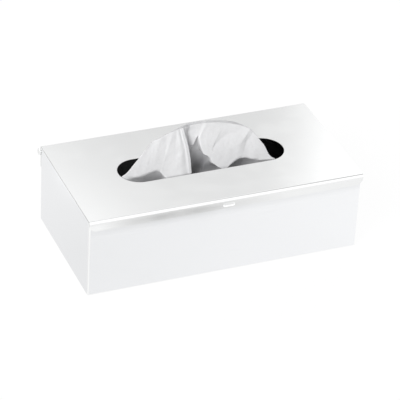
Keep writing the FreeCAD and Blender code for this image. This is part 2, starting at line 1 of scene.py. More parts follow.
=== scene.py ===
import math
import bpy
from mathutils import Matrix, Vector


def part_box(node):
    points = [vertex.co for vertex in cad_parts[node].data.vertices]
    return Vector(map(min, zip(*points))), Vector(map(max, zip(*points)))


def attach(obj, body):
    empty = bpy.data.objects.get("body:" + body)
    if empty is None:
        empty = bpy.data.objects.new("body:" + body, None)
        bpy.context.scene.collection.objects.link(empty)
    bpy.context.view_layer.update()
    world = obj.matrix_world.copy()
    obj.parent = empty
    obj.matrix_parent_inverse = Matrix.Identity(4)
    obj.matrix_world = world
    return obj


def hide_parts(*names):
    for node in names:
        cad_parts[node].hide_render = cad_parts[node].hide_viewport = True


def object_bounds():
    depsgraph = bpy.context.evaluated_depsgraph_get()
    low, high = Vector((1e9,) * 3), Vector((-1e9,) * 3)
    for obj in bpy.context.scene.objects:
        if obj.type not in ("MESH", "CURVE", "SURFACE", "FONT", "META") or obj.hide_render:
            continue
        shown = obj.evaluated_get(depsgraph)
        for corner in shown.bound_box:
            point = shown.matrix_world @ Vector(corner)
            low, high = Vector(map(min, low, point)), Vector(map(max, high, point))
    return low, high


bl_info = {
    "name": "Tissue dispenser dressing",
    "version": (1, 0, 0),
    "blender": (4, 5, 0),
    "location": "3D View > Sidebar > Dispenser",
    "description": "Finishes for a folded steel tissue dispenser, its tissues and a studio",
    "category": "Object",
}

import bmesh
import bpy
import numpy as np
from bpy.props import FloatProperty, FloatVectorProperty, IntProperty, PointerProperty
from mathutils import Quaternion, Vector, noise

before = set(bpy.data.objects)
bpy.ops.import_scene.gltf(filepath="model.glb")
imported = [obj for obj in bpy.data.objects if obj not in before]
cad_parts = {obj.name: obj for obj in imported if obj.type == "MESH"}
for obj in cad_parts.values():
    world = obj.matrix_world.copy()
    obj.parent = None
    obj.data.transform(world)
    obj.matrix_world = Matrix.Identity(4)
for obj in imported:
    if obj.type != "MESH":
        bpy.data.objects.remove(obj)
CAD_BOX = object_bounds()

MM = 0.001
SHEET = 1.0 * MM  # thickness of the folded steel
UNDER_SKIN = 0.6 * SHEET  # a face that lies deeper in than this belongs to the inside
STRAP_SHEET = 1.2 * MM  # thickness of the hinge strap
FLOOR_BEND = 1.4 * MM  # outside radius where the box's walls meet its floor
LIP_BEND = 2.4 * MM  # outside radius where the lid turns down into its lip
BOX_LOW, BOX_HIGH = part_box("box_body")
LID_LOW, LID_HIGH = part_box("lid")
PILE_LOW, PILE_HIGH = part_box("tissue_pile")
TISSUE_LOW, TISSUE_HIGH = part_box("pulled_tissue")
STRAP_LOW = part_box("hinge_strap")[0]


# ---------------------------------------------------------------- settings


def colour_setting(name, description, default):
    """A colour that the panel shows."""
    return FloatVectorProperty(
        name=name, description=description, subtype="COLOR", default=default, min=0.0, max=1.0
    )


def share_setting(name, description, default):
    """A number from 0 to 1."""
    return FloatProperty(
        name=name, description=description, subtype="FACTOR", default=default, min=0.0, max=1.0
    )


def length_setting(name, description, default, smallest=0.0, precision=5):
    """A length in metres, shown with this many decimals."""
    return FloatProperty(
        name=name, description=description, unit="LENGTH", default=default, min=smallest,
        precision=precision,
    )


def angle_setting(name, description, degrees):
    """An angle, given in degrees."""
    return FloatProperty(
        name=name, description=description, subtype="ANGLE", default=math.radians(degrees)
    )


def brightness_setting(name, description, default):
    """A brightness, where 1 is white."""
    return FloatProperty(name=name, description=description, default=default, min=0.0)


# ---------------------------------------------------------------- node trees


def link(tree, source, target):
    """Joins an output socket to an input socket."""
    tree.links.new(source, target)


def feed(tree, value, socket):
    """Gives a socket its value, which is a constant or another node's output."""
    if isinstance(value, bpy.types.NodeSocket):
        link(tree, value, socket)
    else:
        socket.default_value = value


def feed_each(tree, values, sockets):
    """Gives the sockets their values in turn."""
    for value, socket in zip(values, sockets):
        feed(tree, value, socket)


def add_node(tree, kind, **settings):
    """A node with its settings, and with its inputs, named with _ for a space."""
    node = tree.nodes.new(kind)
    for name, value in settings.items():
        socket = name.replace("_", " ")
        if socket in node.inputs:
            feed(tree, value, node.inputs[socket])
        else:
            setattr(node, name, value)
    return node


def calculate(tree, operation, *values):
    """A Math node's result. Each value is a number or an output socket."""
    node = add_node(tree, "ShaderNodeMath", operation=operation)
    feed_each(tree, values, node.inputs)
    return node.outputs[0]


def calculate_vector(tree, operation, first, second):
    """A Vector Math node's vector."""
    node = add_node(tree, "ShaderNodeVectorMath", operation=operation)
    feed_each(tree, (first, second), node.inputs)
    return node.outputs["Vector"]


def vector_of(tree, x=0.0, y=0.0, z=0.0):
    """A vector made of numbers or output sockets."""
    node = add_node(tree, "ShaderNodeCombineXYZ")
    feed_each(tree, (x, y, z), node.inputs)
    return node.outputs[0]


def parts_of(tree, vector):
    """The X, Y and Z of a vector socket, by name."""
    node = add_node(tree, "ShaderNodeSeparateXYZ")
    link(tree, vector, node.inputs[0])
    return node.outputs


def along(tree, vector, direction):
    """How far a vector socket reaches along a direction."""
    node = add_node(tree, "ShaderNodeVectorMath", operation="DOT_PRODUCT")
    link(tree, vector, node.inputs[0])
    node.inputs[1].default_value = direction
    return node.outputs["Value"]


def map_range(tree, value, from_low, from_high, to_low=0.0, to_high=1.0, smooth=False):
    """A value carried over from one range to another, and held at the ends."""
    node = add_node(tree, "ShaderNodeMapRange")
    node.interpolation_type = "SMOOTHSTEP" if smooth else "LINEAR"
    feed_each(tree, (value, from_low, from_high, to_low, to_high), node.inputs)
    return node.outputs["Result"]


def mix_colours(tree, factor, first, second):
    """The first colour, and the second one where the factor is 1."""
    node = add_node(tree, "ShaderNodeMix", data_type="RGBA")
    feed_each(tree, (factor, first, second), (node.inputs[0], *node.inputs[6:8]))
    return node.outputs[2]


def mix_values(tree, factor, first, second):
    """The first number, and the second one where the factor is 1."""
    node = add_node(tree, "ShaderNodeMix", data_type="FLOAT")
    feed_each(tree, (factor, first, second), (node.inputs[0], *node.inputs[2:4]))
    return node.outputs[0]


def object_place(tree):
    """Where a point of the piece lies, in the dispenser's own frame."""
    return add_node(tree, "ShaderNodeTexCoord").outputs["Object"]


def new_tree(name, kind, inputs, outputs):
    """A node group, what it is given, and its output node. Inputs are (name, kind, default)."""
    tree = bpy.data.node_groups.new(name, kind)
    for socket_name, socket_kind, default in inputs:
        socket = tree.interface.new_socket(
            socket_name, in_out="INPUT", socket_type=f"NodeSocket{socket_kind}"
        )
        if default is not None:
            socket.default_value = default
    for socket_name, socket_kind in outputs:
        tree.interface.new_socket(
            socket_name, in_out="OUTPUT", socket_type=f"NodeSocket{socket_kind}"
        )
    given = tree.nodes.new("NodeGroupInput").outputs
    return tree, given, tree.nodes.new("NodeGroupOutput")


def place_group(tree, group, **values):
    """A shared effect placed in a material, with its own values."""
    node = tree.nodes.new("ShaderNodeGroup")
    node.node_tree = group
    for name, value in values.items():
        feed(tree, value, node.inputs[name.replace("_", " ")])
    return node


def new_material(name):
    """A material with one Principled BSDF on its output."""
    material = bpy.data.materials.new(name)
    material.use_nodes = True
    tree = material.node_tree
    return material, tree, tree.nodes["Principled BSDF"]


def mottle(tree, mask, tone, darker):
    """A colour that goes halfway to a darker share of itself where the mask is 1."""
    shadowed = [channel * darker for channel in tone]
    half = calculate(tree, "MULTIPLY", mask, 0.5)
    return mix_colours(tree, half, (*tone, 1.0), (*shadowed, 1.0))


def add_bump(tree, shader, height, strength, distance):
    """Lets a height over the surface tilt the shader's normal."""
    bump = add_node(
        tree, "ShaderNodeBump", Strength=strength, Distance=distance, Height=height
    )
    link(tree, bump.outputs["Normal"], shader.inputs["Normal"])


# ---------------------------------------------------------------- shared effects


def brushed_grain_group():
    """Fine lines of a polishing belt that run along X."""
    tree, given, result = new_tree(
        "brushed_grain",
        "ShaderNodeTree",
        (("Lines per metre", "Float", 2500.0), ("Stretch", "Float", 60.0), ("Seed", "Float", 0.0)),
        (("Height", "Float"), ("Mask", "Float")),
    )
    across = given["Lines per metre"]
    lengthwise = calculate(tree, "DIVIDE", across, given["Stretch"])
    squeeze = vector_of(tree, lengthwise, across, across)
    scaled = calculate_vector(tree, "MULTIPLY", object_place(tree), squeeze)
    shifted = calculate_vector(tree, "ADD", scaled, given["Seed"])
    lines = add_node(
        tree, "ShaderNodeTexNoise", Vector=shifted, Scale=1.0, Detail=3.0, Roughness=0.6
    )
    link(tree, lines.outputs["Fac"], result.inputs["Height"])
    link(tree, map_range(tree, lines.outputs["Fac"], 0.35, 0.65), result.inputs["Mask"])
    return tree


def handling_group():
    """Large soft patches where the polish is a little duller from wiping and handling."""
    tree, given, result = new_tree(
        "handling_marks",
        "ShaderNodeTree",
        (("Patches per metre", "Float", 28.0), ("Seed", "Float", 0.0)),
        (("Mask", "Float"),),
    )
    shifted = calculate_vector(tree, "ADD", object_place(tree), given["Seed"])
    patches = add_node(
        tree, "ShaderNodeTexNoise", Vector=shifted, Scale=given["Patches per metre"],
        Detail=4.0, Roughness=0.55, Distortion=0.6,
    )
    mask = map_range(tree, patches.outputs["Fac"], 0.42, 0.68, smooth=True)
    link(tree, mask, result.inputs["Mask"])
    return tree


def paper_fibres_group():
    """Matted fibres of soft paper, with the faint dots of its embossing."""
    tree, given, result = new_tree(
        "paper_fibres",
        "ShaderNodeTree",
        (("Fibres per metre", "Float", 900.0), ("Dots per metre", "Float", 420.0)),
        (("Height", "Float"), ("Mask", "Float")),
    )
    place = object_place(tree)
    fibres = add_node(
        tree, "ShaderNodeTexNoise", Vector=place, Scale=given["Fibres per metre"],
        Detail=6.0, Roughness=0.7,
    )
    dots = add_node(
        tree, "ShaderNodeTexVoronoi", Vector=place, Scale=given["Dots per metre"],
        Randomness=0.25,
    )
    dimples = map_range(tree, dots.outputs["Distance"], 0.15, 0.4, -0.35, 0.0, smooth=True)
    height = calculate(tree, "ADD", fibres.outputs["Fac"], dimples)
    link(tree, height, result.inputs["Height"])
    link(tree, map_range(tree, fibres.outputs["Fac"], 0.3, 0.7), result.inputs["Mask"])
    return tree


GROUPS = {}


def shared(name):
    """The shared effect of that name, built when it is first asked for."""
    makers = {
        "brushed_grain": brushed_grain_group,
        "handling_marks": handling_group,
        "paper_fibres": paper_fibres_group,
    }
    if name not in GROUPS:
        GROUPS[name] = makers[name]()
    return GROUPS[name]


# ---------------------------------------------------------------- meshes


def put_in_scene(name, data):
    """An object of that name in the scene, at the origin."""
    made = bpy.data.objects.new(name, data)
    bpy.context.scene.collection.objects.link(made)
    return made


def mesh_object(name, points, faces):
    """A smooth mesh object in the scene, at the origin."""
    mesh = bpy.data.meshes.new(name)
    mesh.from_pydata([tuple(point) for point in points], [], faces)
    mesh.update()
    mesh.shade_smooth()
    return put_in_scene(name, mesh)


def grid_faces(columns, rows):
    """Quads of a grid whose points run up each column in turn."""
    return [
        (c * rows + r, (c + 1) * rows + r, (c + 1) * rows + r + 1, c * rows + r + 1)
        for c in range(columns - 1)
        for r in range(rows - 1)
    ]


def thicken(piece, thickness):
    """Gives a sheet its thickness, half of it on each side."""
    solid = piece.modifiers.new("thickness", "SOLIDIFY")
    solid.thickness = thickness
    solid.offset = 0.0


def new_shape_tree(name, inputs):
    """A tree that grows a mesh from its named inputs. Inputs are (name, socket kind, default)."""
    return new_tree(name, "GeometryNodeTree", inputs, (("Geometry", "Geometry"),))


def chain(tree, *nodes):
    """Passes the geometry on from each node to the next, by their first geometry sockets."""
    for near, far in zip(nodes, nodes[1:]):
        source = next(s for s in near.outputs if s.type == "GEOMETRY")
        target = next(s for s in far.inputs if s.type == "GEOMETRY")
        link(tree, source, target)


def grown_object(name, tree, **values):
    """A plain mesh object in the scene, grown by a tree with the values of its inputs."""
    grown = put_in_scene(name, bpy.data.meshes.new(name))
    modifier = grown.modifiers.new(name, "NODES")
    modifier.node_group = tree
    for socket in tree.interface.items_tree:
        key = socket.name.replace(" ", "_").lower()
        if socket.in_out == "INPUT" and key in values:
            modifier[socket.identifier] = values[key]
    evaluated = grown.evaluated_get(bpy.context.evaluated_depsgraph_get())
    mesh = bpy.data.meshes.new_from_object(evaluated)
    grown.modifiers.clear()
    grown.data = mesh
    return grown


def stand_for(piece, node, body):
    """The piece shows instead of the CAD node and moves with its body."""
    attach(piece, body)
    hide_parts(node)


# ---------------------------------------------------------------- steel


def lay_shade(tree, colour, shade_colour, start, full, share, rearmost):
    """The colour with a share of shade on it, from one height to another, in front of a Y."""
    place = parts_of(tree, object_place(tree))
    near = map_range(tree, place["Z"], start, full, 0.0, share, smooth=True)
    in_front = calculate(tree, "LESS_THAN", place["Y"], rearmost)
    near = calculate(tree, "MULTIPLY", near, in_front)
    return mix_colours(tree, near, colour, (*shade_colour, 1.0))


def steel_material(name, settings, seed, tone, roughness, shade=None):
    """Stainless sheet with belt lines and wiping marks, and perhaps a shade on it."""
    material, tree, shader = new_material(name)
    shader.inputs["Metallic"].default_value = 1.0
    grain = place_group(tree, shared("brushed_grain"), Seed=seed)
    marks = place_group(tree, shared("handling_marks"), Seed=seed)
    colour = mottle(tree, grain.outputs["Mask"], tone, 0.97)
    rough = roughness
    for mask, spread in ((grain, settings.grain_spread), (marks, settings.mark_spread)):
        rough = calculate(tree, "MULTIPLY_ADD", mask.outputs["Mask"], spread, rough)
    if shade:
        colour = lay_shade(tree, colour, settings.shade, **shade)
    link(tree, colour, shader.inputs["Base Color"])
    link(tree, rough, shader.inputs["Roughness"])
    add_bump(tree, shader, grain.outputs["Height"], 1.0, settings.grain_depth)
    return material


def steel_finishes(settings, piece, seed, tone=None, shade=None, inside_shade=None):
    """The satin of the flat sheet, the bends brightened as a painted highlight, the unpolished inside,
    the sheared ends.
    """
    looks = (
        ("satin", tone or settings.tone, settings.roughness, shade),
        # the bends' brighter tone is a painted highlight
        ("bends", settings.bend_highlight_tone, settings.bend_roughness, None),
        ("inside", settings.inside_tone, settings.inside_roughness, inside_shade),
        ("sheared", settings.sheared_tone, settings.sheared_roughness, None),
    )
    return [steel_material(f"{piece}_{look}", settings, seed, *rest) for look, *rest in looks]


SATIN, PAINTED_HIGHLIGHT, INSIDE, SHEARED = 0, 1, 2, 3


def rounded_box_distance(point, low, high, radius):
    """How far a point lies outside a box with rounded edges; less than 0 is inside."""
    middle, half = (low + high) / 2, (high - low) / 2
    beyond = [abs(point[i] - middle[i]) - half[i] + radius for i in range(3)]
    outside = Vector([max(value, 0.0) for value in beyond])
    return outside.length + min(max(beyond), 0.0) - radius


def soft_edged_copy(node, name, choose_finish, settings, finishes):
    """A copy of a CAD node with its cut edges deburred, and a finish chosen for each face."""
    same_point, same_plane, sharp = 0.002 * MM, math.radians(0.4), math.radians(40)
    made = bmesh.new()
    made.from_mesh(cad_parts[node].data)
    bmesh.ops.remove_doubles(made, verts=made.verts, dist=same_point)
    bmesh.ops.dissolve_limit(made, angle_limit=same_plane, verts=made.verts, edges=made.edges)
    for face in made.faces:
        face.smooth = True
        face.material_index = choose_finish(face.calc_center_median(), face.normal)
    mesh = bpy.data.meshes.new(name)
    made.to_mesh(mesh)
    made.free()
    for material in finishes:
        mesh.materials.append(material)
    piece = put_in_scene(name, mesh)
    deburred = piece.modifiers.new("deburred_edges", "BEVEL")
    deburred.width = settings.edge_width
    deburred.segments = 2
    deburred.limit_method = "ANGLE"
    deburred.angle_limit = sharp
    flattened = piece.modifiers.new("flat_faces_flat", "WEIGHTED_NORMAL")
    flattened.mode = "FACE_AREA"
    flattened.weight = 100
    return piece


def is_tilted(normal):
    """True on a bend, where the surface faces along none of the axes."""
    squarely = 0.9995
    return max(abs(part) for part in normal) < squarely


def outside_finish(centre, normal):
    """The bright bend finish, a painted highlight, on a bend, and satin on the flat sheet."""
    return PAINTED_HIGHLIGHT if is_tilted(normal) else SATIN


def box_finish(centre, normal):
    """The outside's finishes, and the dull inside for what lies deeper in."""
    depth = -rounded_box_distance(centre, BOX_LOW, BOX_HIGH, FLOOR_BEND)
    return INSIDE if depth > UNDER_SKIN else outside_finish(centre, normal)


def is_in_dimple(centre):
    """True for the faces of the dimple that is pressed into the lip."""
    half_length, depth, top = 9 * MM, 1.9 * MM, 2 * MM
    over_lip = abs(centre.x) < half_length and centre.z < LID_HIGH.z - top
    return over_lip and centre.y < LID_LOW.y + depth


def lid_finish(centre, normal):
    """Sheared at the cut ends, the bright bend finish as a painted highlight at the rear and in the
    dimple, and dull inside.
    """
    end, rear_bend = LID_HIGH.x - 0.1 * MM, STRAP_LOW.y - 2 * MM
    faces_sideways, faces_rear = abs(normal.x) > 0.99, normal.y >= 0.2
    if faces_sideways and abs(centre.x) > end:
        return SHEARED
    if centre.y > rear_bend:
        return PAINTED_HIGHLIGHT
    endless_low = Vector((-1.0, LID_LOW.y, -1.0))
    endless_high = Vector((1.0, STRAP_LOW.y + STRAP_SHEET, LID_HIGH.z))
    depth = -rounded_box_distance(centre, endless_low, endless_high, LIP_BEND)
    in_dimple = is_in_dimple(centre)
    if depth > UNDER_SKIN and (faces_rear or not in_dimple):
        return INSIDE
    # the dimple's pressed-in faces get the bright bend finish: a painted highlight
    pressed_in = in_dimple and depth > 0.1 * SHEET
    return PAINTED_HIGHLIGHT if pressed_in else outside_finish(centre, normal)


class SteelSettings(bpy.types.PropertyGroup):
    tone: colour_setting("Tone", "Colour of the satin sheet", (0.88, 0.885, 0.885))
    wall_tone: colour_setting("Wall tone", "Colour of the box's walls", (0.922, 0.93, 0.943))
    roughness: share_setting("Roughness", "Roughness of the satin sheet", 0.11)
    # the bends' brighter tone is a painted highlight
    bend_highlight_tone: colour_setting("Bend tone", "Colour of the highlighted bends", (0.97, 0.975, 0.975))
    bend_roughness: share_setting("Bend roughness", "Roughness of the highlighted bends", 0.12)
    inside_tone: colour_setting(
        "Inside tone", "Colour of the unpolished inside", (0.5, 0.505, 0.51)
    )
    inside_roughness: share_setting("Inside roughness", "Roughness of the unpolished inside", 0.5)
    sheared_tone: colour_setting("Sheared tone", "Colour of the sheet's cut ends", (0.7, 0.7, 0.7))
    sheared_roughness: share_setting("Sheared roughness", "Roughness of the sheet's cut ends", 0.2)
    shade: colour_setting("Shade", "Colour of the steel that lies in shade", (0.05, 0.05, 0.055))
    grain_spread: share_setting("Grain", "Roughness that the belt lines add", 0.03)
    mark_spread: share_setting("Wiping marks", "Roughness that wiping and handling add", 0.03)
    grain_depth: length_setting("Grain depth", "Depth of the belt lines", 0.4e-6, precision=7)
    edge_width: length_setting("Edge width", "Width of the deburred cut edges", 0.18 * MM)
    weld_count: IntProperty(
        name="Weld count", description="Spot welds along the hinge strap", default=6, min=2
    )
    weld_pitch: length_setting("Weld pitch", "From one spot weld to the next", 40 * MM)
    weld_diameter: length_setting("Weld diameter", "Width of a spot weld's mark", 4.0 * MM)
    weld_height: length_setting("Weld height", "How far a weld's mark stands out", 0.1 * MM)
    weld_tone: colour_setting("Weld tone", "Colour of the welds after pickling", (0.74, 0.72, 0.69))
    weld_roughness: share_setting("Weld roughness", "Roughness of the spot welds", 0.35)


class DISPENSER_OT_box(bpy.types.Operator):
    """Finishes the folded box: satin outside, bends with a painted highlight, a dull inside, and
    painted shade under the lip and down the inside walls
    """

    bl_idname = "dispenser.box"
    bl_label = "Box"

    def execute(self, context):
        settings = context.scene.dispenser_steel
        front_face = BOX_LOW.y + SHEET / 2
        # painted shade on the front wall just under the lid's lip
        painted_shade_under_lip = dict(
            start=LID_LOW.z - 9 * MM, full=LID_LOW.z, share=0.086, rearmost=front_face
        )
        # painted shade that darkens the inside walls towards the floor
        painted_shade_down_inside = dict(
            start=0.9 * BOX_HIGH.z, full=0.45 * BOX_HIGH.z, share=0.66, rearmost=BOX_HIGH.y
        )
        finishes = steel_finishes(settings, "box", 3.0, settings.wall_tone, painted_shade_under_lip, painted_shade_down_inside)
        piece = soft_edged_copy("box_body", "folded_box", box_finish, settings, finishes)
        stand_for(piece, "box_body", "box")
        return {"FINISHED"}


class DISPENSER_OT_lid(bpy.types.Operator):
    """Finishes the folded lid, its lip and the dimple of its catch"""

    bl_idname = "dispenser.lid"
    bl_label = "Lid"

    def execute(self, context):
        settings = context.scene.dispenser_steel
        finishes = steel_finishes(settings, "lid", 0.0)
        piece = soft_edged_copy("lid", "folded_lid", lid_finish, settings, finishes)
        stand_for(piece, "lid", "lid")
        return {"FINISHED"}


class DISPENSER_OT_hinge(bpy.types.Operator):
    """Finishes the hinge strap with its rolled knuckles, and the headed pin"""

    bl_idname = "dispenser.hinge"
    bl_label = "Hinge"

    def execute(self, context):
        settings = context.scene.dispenser_steel
        pieces = (("hinge_strap", "rolled_strap", 7.0), ("hinge_pin", "headed_pin", 9.0))
        for node, name, seed in pieces:
            finishes = steel_finishes(settings, name, seed)
            piece = soft_edged_copy(node, name, outside_finish, settings, finishes)
            stand_for(piece, node, "box")
        return {"FINISHED"}


def spot_weld_tree():
    """A row of shallow round weld marks on an upright sheet that faces the rear."""
    tree, given, result = new_shape_tree(
        "spot_weld_row",
        (
            ("Count", "Int", 6),
            ("Pitch", "Float", 40 * MM),
            ("Diameter", "Float", 4 * MM),
            ("Height", "Float", 0.1 * MM),
            ("Start", "Vector", None),
            ("Metal", "Material", None),
        ),
    )
    row = add_node(
        tree, "GeometryNodeMeshLine", mode="OFFSET", Count=given["Count"],
        Start_Location=given["Start"], Offset=vector_of(tree, given["Pitch"]),
    )
    mark = add_node(tree, "GeometryNodeMeshUVSphere", Segments=32, Rings=16, Radius=1.0)
    radius = calculate(tree, "MULTIPLY", given["Diameter"], 0.5)
    size = vector_of(tree, radius, given["Height"], radius)
    spread = add_node(
        tree, "GeometryNodeInstanceOnPoints", Instance=mark.outputs["Mesh"], Scale=size
    )
    smooth = add_node(tree, "GeometryNodeSetShadeSmooth")
    real = add_node(tree, "GeometryNodeRealizeInstances")
    finish = add_node(tree, "GeometryNodeSetMaterial", Material=given["Metal"])
    chain(tree, row, spread, real, smooth, finish, result)
    return tree


class DISPENSER_OT_spot_welds(bpy.types.Operator):
    """Puts the weld marks that hold the hinge strap on the rear wall"""

    bl_idname = "dispenser.spot_welds"
    bl_label = "Spot welds"

    def execute(self, context):
        settings = context.scene.dispenser_steel
        half_row = settings.weld_pitch * (settings.weld_count - 1) / 2
        over_strap_edge = 4 * MM
        metal = steel_material(
            "weld_marks", settings, 11.0, settings.weld_tone, settings.weld_roughness
        )
        welds = grown_object(
            "spot_welds",
            spot_weld_tree(),
            count=settings.weld_count,
            pitch=settings.weld_pitch,
            diameter=settings.weld_diameter,
            height=settings.weld_height,
            start=(-half_row, STRAP_LOW.y + STRAP_SHEET, STRAP_LOW.z + over_strap_edge),
            metal=metal,
        )
        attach(welds, "box")
        return {"FINISHED"}


# ---------------------------------------------------------------- tissues


def smooth_step(position):
    """0 up to a position of 0, 1 from a position of 1, and a soft slope in between."""
    held = np.clip(position, 0.0, 1.0)
    return held * held * (3 - 2 * held)


def fade(distance, reach):
    """1 at no distance, and softly down to 0 at the reach."""
    return 1 - smooth_step(distance / reach)


def between(x, left, right, left_slope, right_slope):
    """1 in the middle of two places, and softly down to 0 at each of them."""
    return smooth_step((x - left) / left_slope) * smooth_step((right - x) / right_slope)


class TissueSettings(bpy.types.PropertyGroup):
    paper: colour_setting("Paper", "Colour of the tissue paper", (0.81, 0.81, 0.82))
    fold_shade: colour_setting("Fold shade", "Colour deep between the folds", (0.19, 0.19, 0.2))
    flat_width: length_setting("Flat width", "Side of the flat tissue along the box", 0.212)
    flat_length: length_setting("Flat length", "Side of the flat tissue that is folded", 0.2)
    thickness: length_setting("Thickness", "Thickness of the two-ply paper", 0.3 * MM)
    cell: length_setting("Cell", "Width of the cells of the tissue's mesh", 0.9 * MM, 0.2 * MM)
    crease_passes: IntProperty(
        name="Crease passes", description="How often the folds are rounded off", default=3, min=0
    )
    crumple: length_setting("Crumple", "Height of the small dents all over the paper", 0.35 * MM)
    pleat_depth: length_setting("Pleat depth", "Depth of the pleats below the lid", 2.4 * MM)
    pleat_width: length_setting("Pleat width", "From one pleat to the next", 13 * MM, 1 * MM)
    pile_count: IntProperty(
        name="Pile count", description="Folded tissues left in the box", default=12, min=1
    )
    looseness: length_setting("Looseness", "How far the pile's tissues lie out of line", 0.6 * MM)
    ripple: length_setting("Ripple", "Height of the waves in the pile's tissues", 0.3 * MM)


# The fold lines of the pulled tissue from left to right, drawn in millimetres for a tissue of
# this width. Each goes up from the lid's top to the upper edge by points of (height, x from the
# slot's middle, depth behind the front).
DRAWN_WIDTH = 137.0
DRAWN_LEFT = -75.0  # x of the first line where it stands on the lid
FOLD_LINES = (
    # the left side, and the hollow foot beside it
    ((0, -75, 0), (4, -74.3, 0), (8, -73.5, 0), (12, -71.4, 0), (15, -69, 0), (30, -55.9, 0)),
    ((0, -67, 4), (3, -66, 2), (5, -65, 0), (34.7, -49, 0.4)),
    ((0, -56, 5), (4.2, -55.6, 3.2), (7.4, -54, 0.2), (37.3, -43, -0.3)),
    ((0, -46, 5), (5.4, -47.5, 3.8), (8.8, -48, 0.1), (39.3, -37, 0.2)),
    ((0, -42, 4.5), (4.6, -43.6, 3), (7, -44.6, 0.1), (39.8, -35, 0.2)),
    # the left panel and the roll at its right edge
    ((0, -40, 0), (6, -44.5, 0), (40.6, -32, -0.2)),
    ((0, -32, 0), (20, -31, 0.5), (41.3, -29, 0.1)),
    ((0, -24.5, 0.2), (20, -24.5, -0.2), (41.7, -27.4, -0.2)),
    ((0, -19.6, 0.8), (14, -20.4, 1.0), (26, -22.2, 1.0), (42, -26, 0.5)),
    ((0, -18.1, 0), (6, -18.4, -0.5), (14, -19, -0.6), (26, -20.9, -0.5), (42.1, -25, -0.3)),
    ((0, -17.1, 0.7), (14, -18, 0.8), (26, -20, 0.8), (42.2, -24.1, 0.3)),
    ((0, -16.2, 0), (14, -17, 0), (26, -19, -0.1), (42.3, -23.2, 0)),
    # the shaded side of that roll
    ((0, -15.7, 3), (14, -16.4, 3), (26, -18.2, 2), (36, -20.8, 1.4), (42.5, -22.5, 0.3)),
    # the deep hollow, with the flap that hangs over its upper end
    ((0, -15.2, 12), (14, -15.2, 12), (26, -16.4, 8), (36, -17.6, 4), (42.7, -17.4, 0.6)),
    (
        (0, -13, 13), (14, -13.2, 12.5), (19, -13.4, 10), (22, -12.8, 5.4), (38, -15, 3),
        (43.1, -16.2, 0.8),
    ),
    (
        (0, -12.2, 13), (14, -12.4, 12.5), (19, -13, 10.2), (22.4, -12.4, 5), (31, -9.8, 1.8),
        (43.3, -3.8, 0.8),
    ),
    (
        (0, -11.6, 13), (14, -11.6, 12), (19, -12, 10.5), (22.4, -11.8, 9), (29.5, -9.7, 6),
        (32, -8.8, 1.5), (43.3, -3.2, 0.7),
    ),
    (
        (0, -3, 12), (9, -0.2, 10), (13.4, -1.6, 9), (15.4, -5.4, 9), (24, -8.2, 7),
        (29.5, -9.2, 5), (32, -8.3, 1.3), (43.3, -2.6, 0.6),
    ),
    (
        (0, -2, 9), (6, 0.8, 7), (9, 1.6, 2.5), (11.5, 1, 0.4), (13.4, -0.6, 0), (15.6, -4.6, 0),
        (24, -7.4, 0), (31, -8, 0.8), (43.3, -1.4, 0.4),
    ),
    # the middle panel and the diagonal fold that comes down from the right
    (
        (0, 10.4, 6), (2, 7, 5), (5.6, 2.6, 3), (8, 2.4, 0.4), (16, 2.2, 0.3), (22, 4, 0.6),
        (40.7, 16, 0.8),
    ),
    (
        (0, 11.6, 0), (2.6, 7.6, 0), (6.4, 3.8, 0), (16, 3.2, 0.4), (22, 5.4, 1.2), (28, 14.4, 1.4),
        (34.7, 34, 0.4),
    ),
    ((0, 16.8, 0), (4.6, 21.6, 0), (8, 25, -0.1), (20, 29.6, -0.4), (28, 35.4, -0.4), (32, 38.5, -0.2)),
    # the hollow foot on the right, and the right panel
    ((0, 20.4, 3), (3, 24, 2.2), (5.6, 26.4, 0.8), (8, 28.4, 0), (20, 32, 0.3), (31, 39.4, 0)),
    ((0, 26.4, 6), (3.4, 28.6, 5), (6, 30.2, 1.4), (9, 31.8, 0.5), (20, 35.6, 1.5), (29.2, 41.4, 0.6)),
    ((0, 33, 7), (3.6, 34.8, 5), (5.6, 36, 0.8), (18, 39, 0.8), (26.6, 43.2, 0.3)),
    ((0, 39.5, 5), (2.2, 39.8, 3.4), (3.8, 40, 0.3), (22.1, 46.2, 0)),
    ((0, 48, 2), (1.4, 48, 0.5), (18.2, 49, -0.2)),
    ((0, 62, 0), (2.4, 58.2, 0), (6, 55.4, 0), (14, 51.6, 0)),
)

SHADED_LINES = (12, 13)  # the side of the roll, which gets painted shade up to the upper edge
ROLL_X = -17.0  # middle of that roll
PANEL_SHADES = (  # x, and the share of painted shade on the panel there, as if it turned away from the light
    (-58, 1), (-46, 0.9), (-36, 0), (-28, 0), (-21, 0.9), (0, 0.4), (8, 1), (60, 0.7),
)
SLOT_EDGE_RADIUS = 18.35  # of the slot's round ends, less the tissue's clearance
SLOT_STRAIGHT_HALF = 57.75  # from the slot's middle to where a round end starts
TISSUE_LEAN = 0.19  # how far the tissue leans back, run over rise
TISSUE_FOOT = 0.32  # how far in front of the slot's middle the foot stands, of the edge radius


def upper_edge(x, left, right, rise):
    """Height of the tissue's upper edge over the lid, in mm."""
    peak, drop, corner = 0.49, 0.56, 1.2
    left_slope, left_flare, right_slope = 1.2, 5.9, 1.4
    across = (x - left) / (right - left)
    crown = drop * ((across - peak) / (1 - peak)) ** 2
    limits = np.stack(
        (left_slope * (x - left + left_flare), rise * (1 - crown), right_slope * (right - x))
    )
    return -corner * np.log(np.exp(-limits / corner).sum(axis=0))


